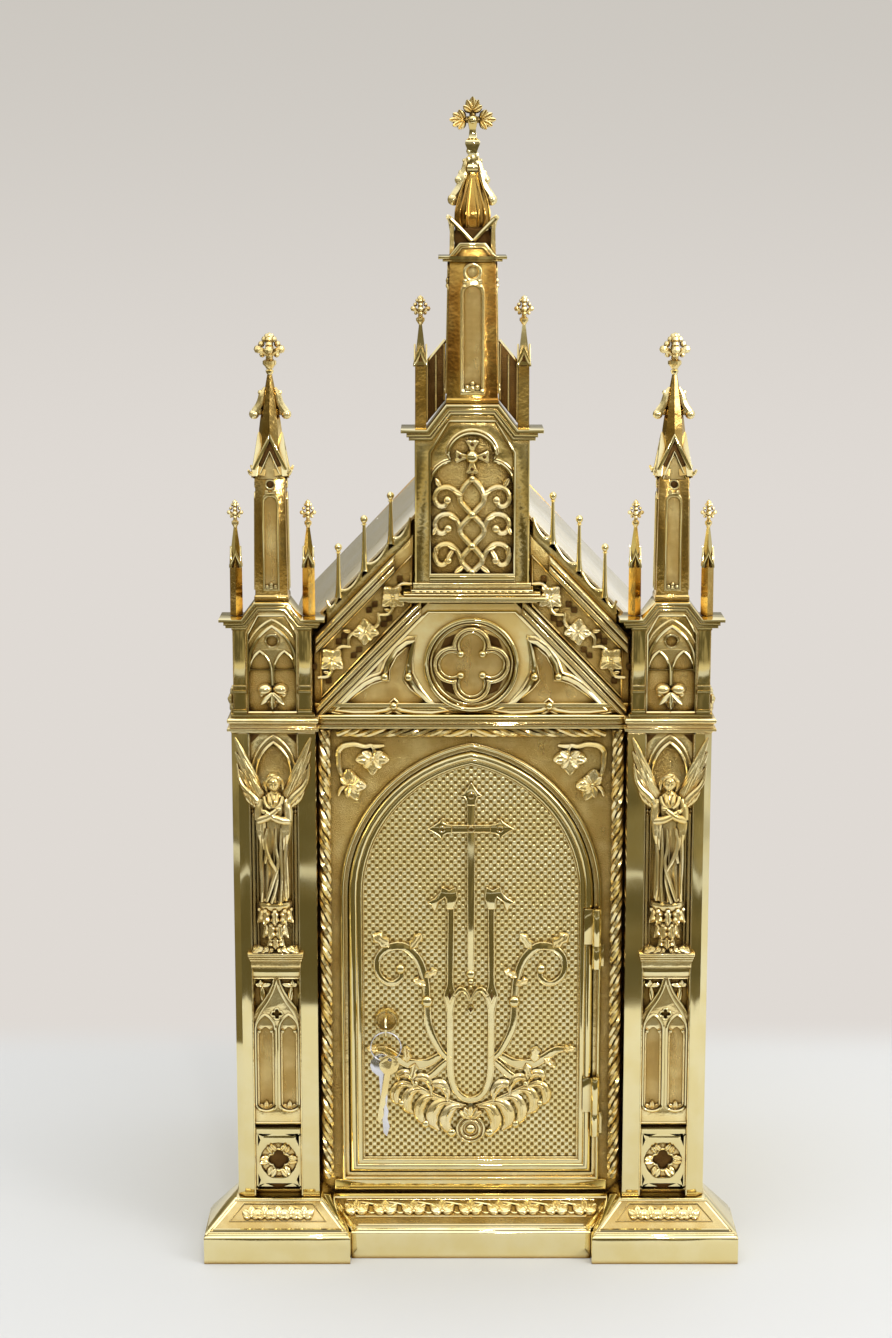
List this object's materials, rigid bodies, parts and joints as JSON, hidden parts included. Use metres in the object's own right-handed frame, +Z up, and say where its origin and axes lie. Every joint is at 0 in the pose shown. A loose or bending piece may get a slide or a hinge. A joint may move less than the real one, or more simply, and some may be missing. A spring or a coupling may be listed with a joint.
{
  "type": "altar tabernacle",
  "caption": "Gothic gabled brass altar chest with spires, niche figures, roped doorway, a hinged pointed-arch door with lock and keys, and a plain hollow sheet-brass body.",
  "frame": {"origin": "middle of the flat underside, halfway between the side plinths and between the front plinths and the back wall", "axes": "+Z up, the front with the door faces -Y, +X to the right as seen from the front"},
  "size_m": [0.455, 0.36, 0.973],
  "materials": {
    "polished_brass": "mirror polished and lacquered",
    "cast_brass": "polished relief with dark brown antiquing in the hollows",
    "grained_brass": "stippled antiqued ground",
    "tinted_brass": "bronzed, with orange and grey heat tint",
    "nickel_steel": "satin nickel plate"
  },
  "bodies": {
    "cabinet": {"angel_left": "cast_brass", "angel_right": "cast_brass", "base_plate": "polished_brass", "belt": "polished_brass", "central_ledge": "polished_brass", "central_roof": "cast_brass", "central_spire": "tinted_brass", "central_tower": "cast_brass", "chest_ceiling": "polished_brass", "chest_floor": "polished_brass", "corner_leaves_left": "cast_brass", "corner_leaves_right": "cast_brass", "cresting_left": "tinted_brass", "cresting_right": "tinted_brass", "door_frame": "polished_brass", "finial_cross": "cast_brass", "front_panel": "grained_brass", "gable": "cast_brass", "hinge_knuckle_lower": "polished_brass", "hinge_knuckle_upper": "polished_brass", "pier_left": "polished_brass", "pier_right": "polished_brass", "pinnacle_central_left": "cast_brass", "pinnacle_central_right": "cast_brass", "pinnacle_left_inner": "cast_brass", "pinnacle_left_outer": "cast_brass", "pinnacle_right_inner": "cast_brass", "pinnacle_right_outer": "cast_brass", "plinth_centre": "polished_brass", "plinth_left": "polished_brass", "plinth_right": "polished_brass", "roof_left": "polished_brass", "roof_right": "polished_brass", "rope_head": "cast_brass", "rope_left": "cast_brass", "rope_right": "cast_brass", "spire_web_left": "tinted_brass", "spire_web_right": "tinted_brass", "tower_left": "cast_brass", "tower_right": "cast_brass", "turret_finial_left": "cast_brass", "turret_finial_right": "cast_brass", "turret_left": "cast_brass", "turret_right": "cast_brass", "turret_roof_left": "cast_brass", "turret_roof_right": "cast_brass", "wall_back": "polished_brass", "wall_left": "polished_brass", "wall_right": "polished_brass"},
    "door": {"door_leaf": "polished_brass", "door_relief": "cast_brass", "door_knuckle_upper": "polished_brass", "door_knuckle_lower": "polished_brass", "lock_cylinder": "polished_brass", "key_in_lock": "cast_brass", "key_ring": "nickel_steel", "hanging_key_long": "nickel_steel", "hanging_key_short": "cast_brass"}
  },
  "joints": [
    {"name": "door_hinge", "type": "hinge", "parent": "cabinet", "child": "door", "pos_m": [0.1075, -0.1235, 0.2], "axis": [0, 0, 1], "range_deg": [0, 105]}
  ]
}
